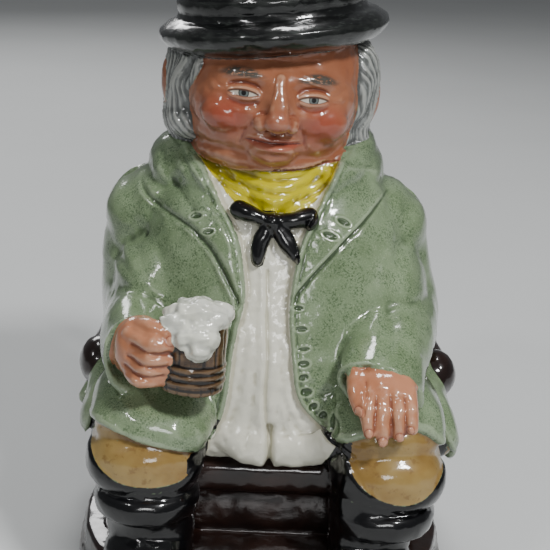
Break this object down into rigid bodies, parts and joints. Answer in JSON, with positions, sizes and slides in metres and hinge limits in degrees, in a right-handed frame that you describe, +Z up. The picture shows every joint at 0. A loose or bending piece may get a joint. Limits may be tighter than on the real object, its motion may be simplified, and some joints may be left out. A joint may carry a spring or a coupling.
{
  "type": "character jug",
  "caption": "Glazed earthenware jug in the shape of a seated squire with a mug of ale, open at the hat's crown, with a loop handle behind and a low plinth.",
  "frame": {"origin": "middle of the bounding box's underside, on the surface that the jug stands on", "axes": "+Z up, -Y the way the squire faces, +X towards his left hand; the handle is at +Y"},
  "size_m": [0.0974, 0.111, 0.1523],
  "materials": {
    "glazed_earthenware": "glossy hand-painted glaze, mostly sage green"
  },
  "bodies": {
    "root": {"character_jug": "glazed_earthenware"}
  },
  "joints": []
}
